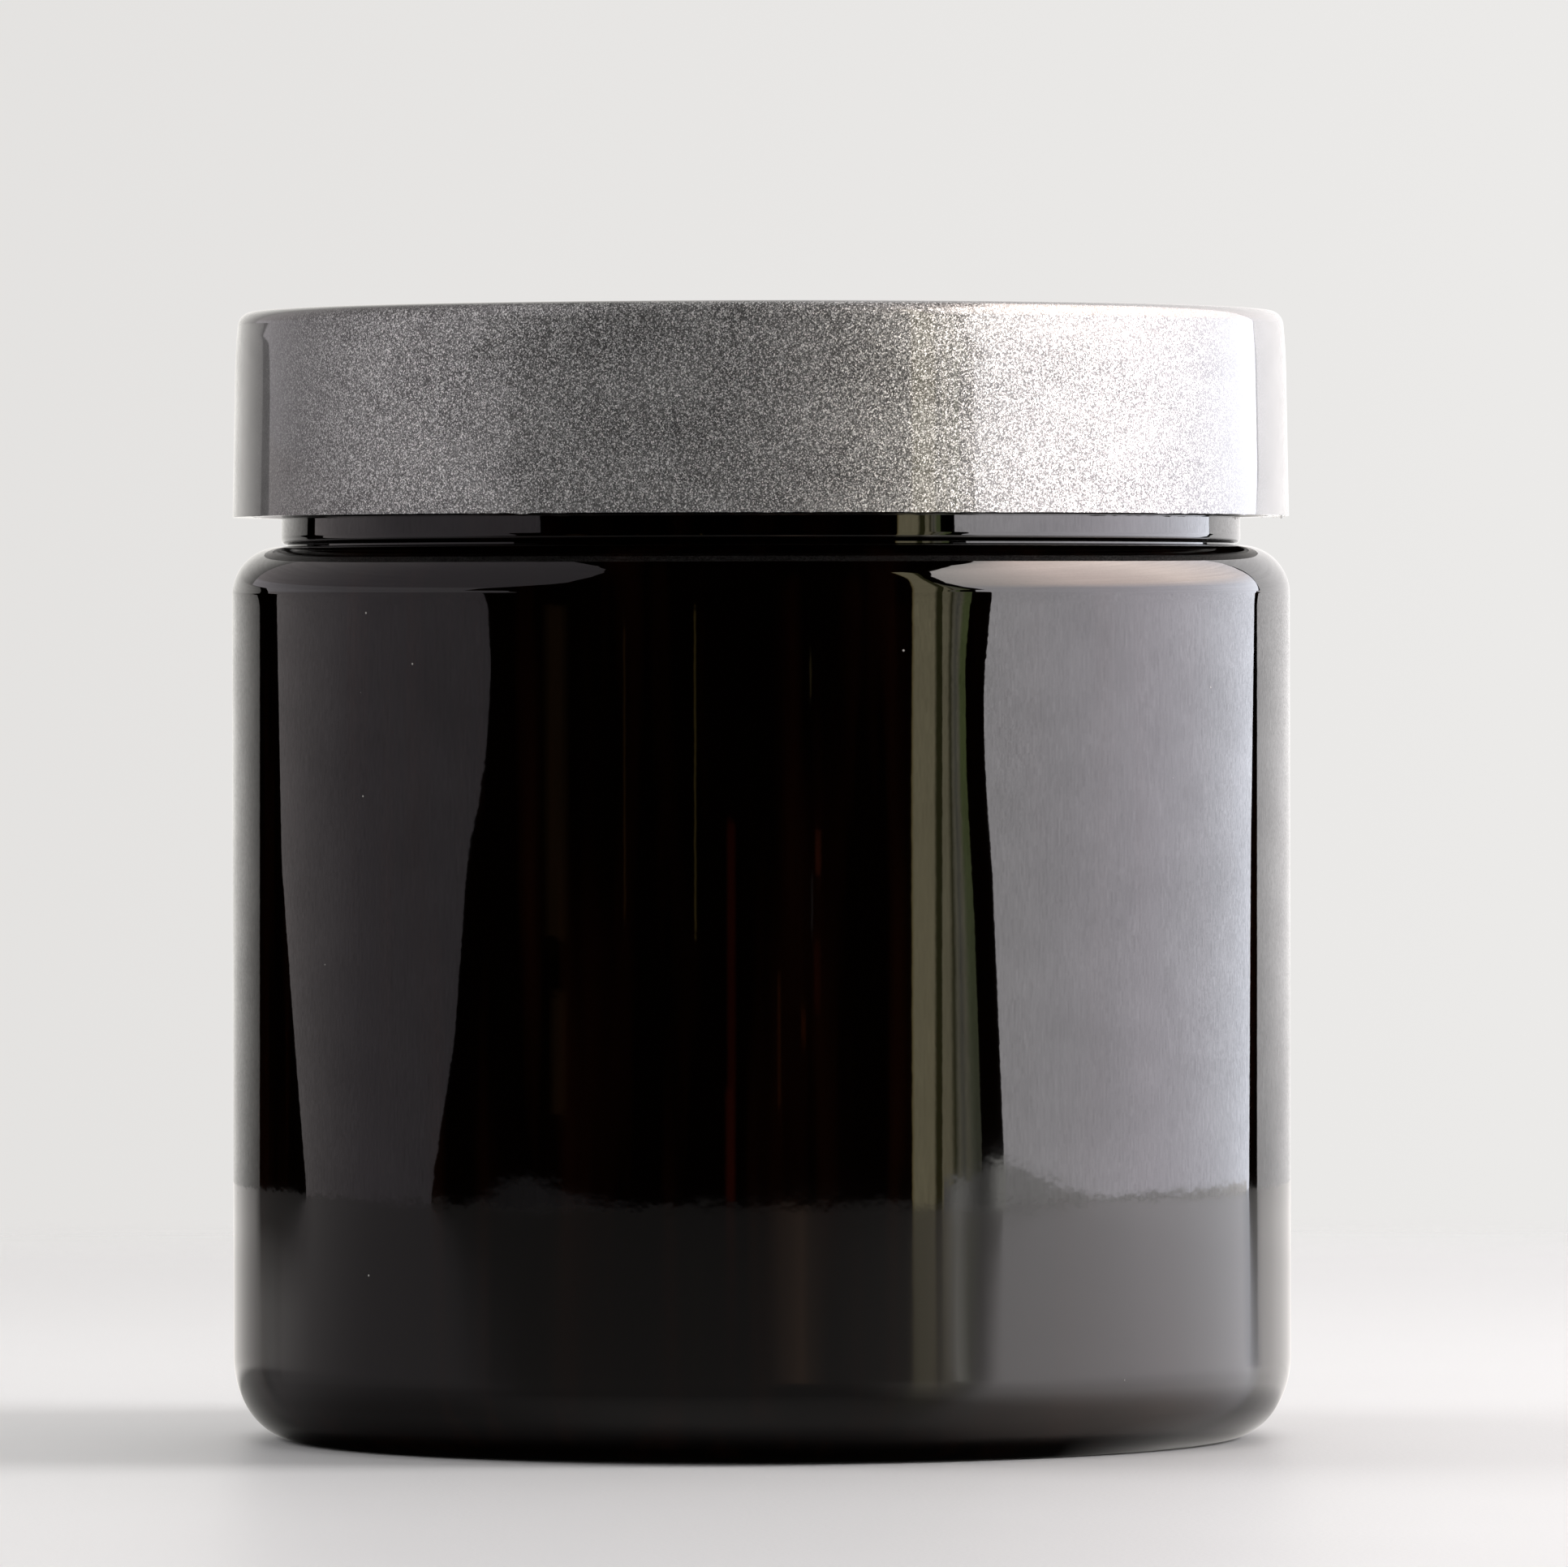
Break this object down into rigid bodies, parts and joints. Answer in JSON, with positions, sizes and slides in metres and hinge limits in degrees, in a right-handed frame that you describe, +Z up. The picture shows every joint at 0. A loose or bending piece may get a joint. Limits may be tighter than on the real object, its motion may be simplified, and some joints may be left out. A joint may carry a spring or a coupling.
{
  "type": "wide-mouth cosmetic cream jar",
  "caption": "Round straight-sided plastic cream jar with a screw lid, a foam lid liner and a lift-out sealing disc with a pull tab.",
  "frame": {"origin": "centre of the plane that the jar stands on, under the jar's axis", "axes": "+Z up along the jar's axis; the sealing disc's pull tab runs along X; the lid unscrews counter-clockwise seen from above, which is positive about +Z"},
  "size_m": [0.073, 0.073, 0.0777],
  "materials": {
    "jar": "clear gloss, near-black deep amber PET",
    "lid": "satin silver with coarse metallic flake",
    "liner": "white fine-celled foam",
    "disc": "milky natural polyethylene"
  },
  "bodies": {
    "jar": {"jar_body": "jar"},
    "liner": {"lid_liner": "liner"},
    "lid": {"screw_lid": "lid"},
    "disc": {"sealing_disc": "disc"}
  },
  "joints": [
    {"name": "lid_rise", "type": "slide", "parent": "jar", "child": "liner", "axis": [0, 0, 1], "range_m": [0, 0.01694]},
    {"name": "lid_turn", "type": "hinge", "parent": "liner", "child": "lid", "pos_m": [0, 0, 0.065], "axis": [0, 0, 1], "range_deg": [0, 1440]},
    {"name": "disc_lift", "type": "slide", "parent": "jar", "child": "disc", "axis": [0, 0, 1], "range_m": [0, 0.00848]}
  ],
  "couplings": [
    {"joint": "lid_rise", "follows": "lid_turn", "m_per_rad": 0.0006737},
    {"joint": "disc_lift", "follows": "lid_turn", "m_per_rad": 0.00033685}
  ]
}
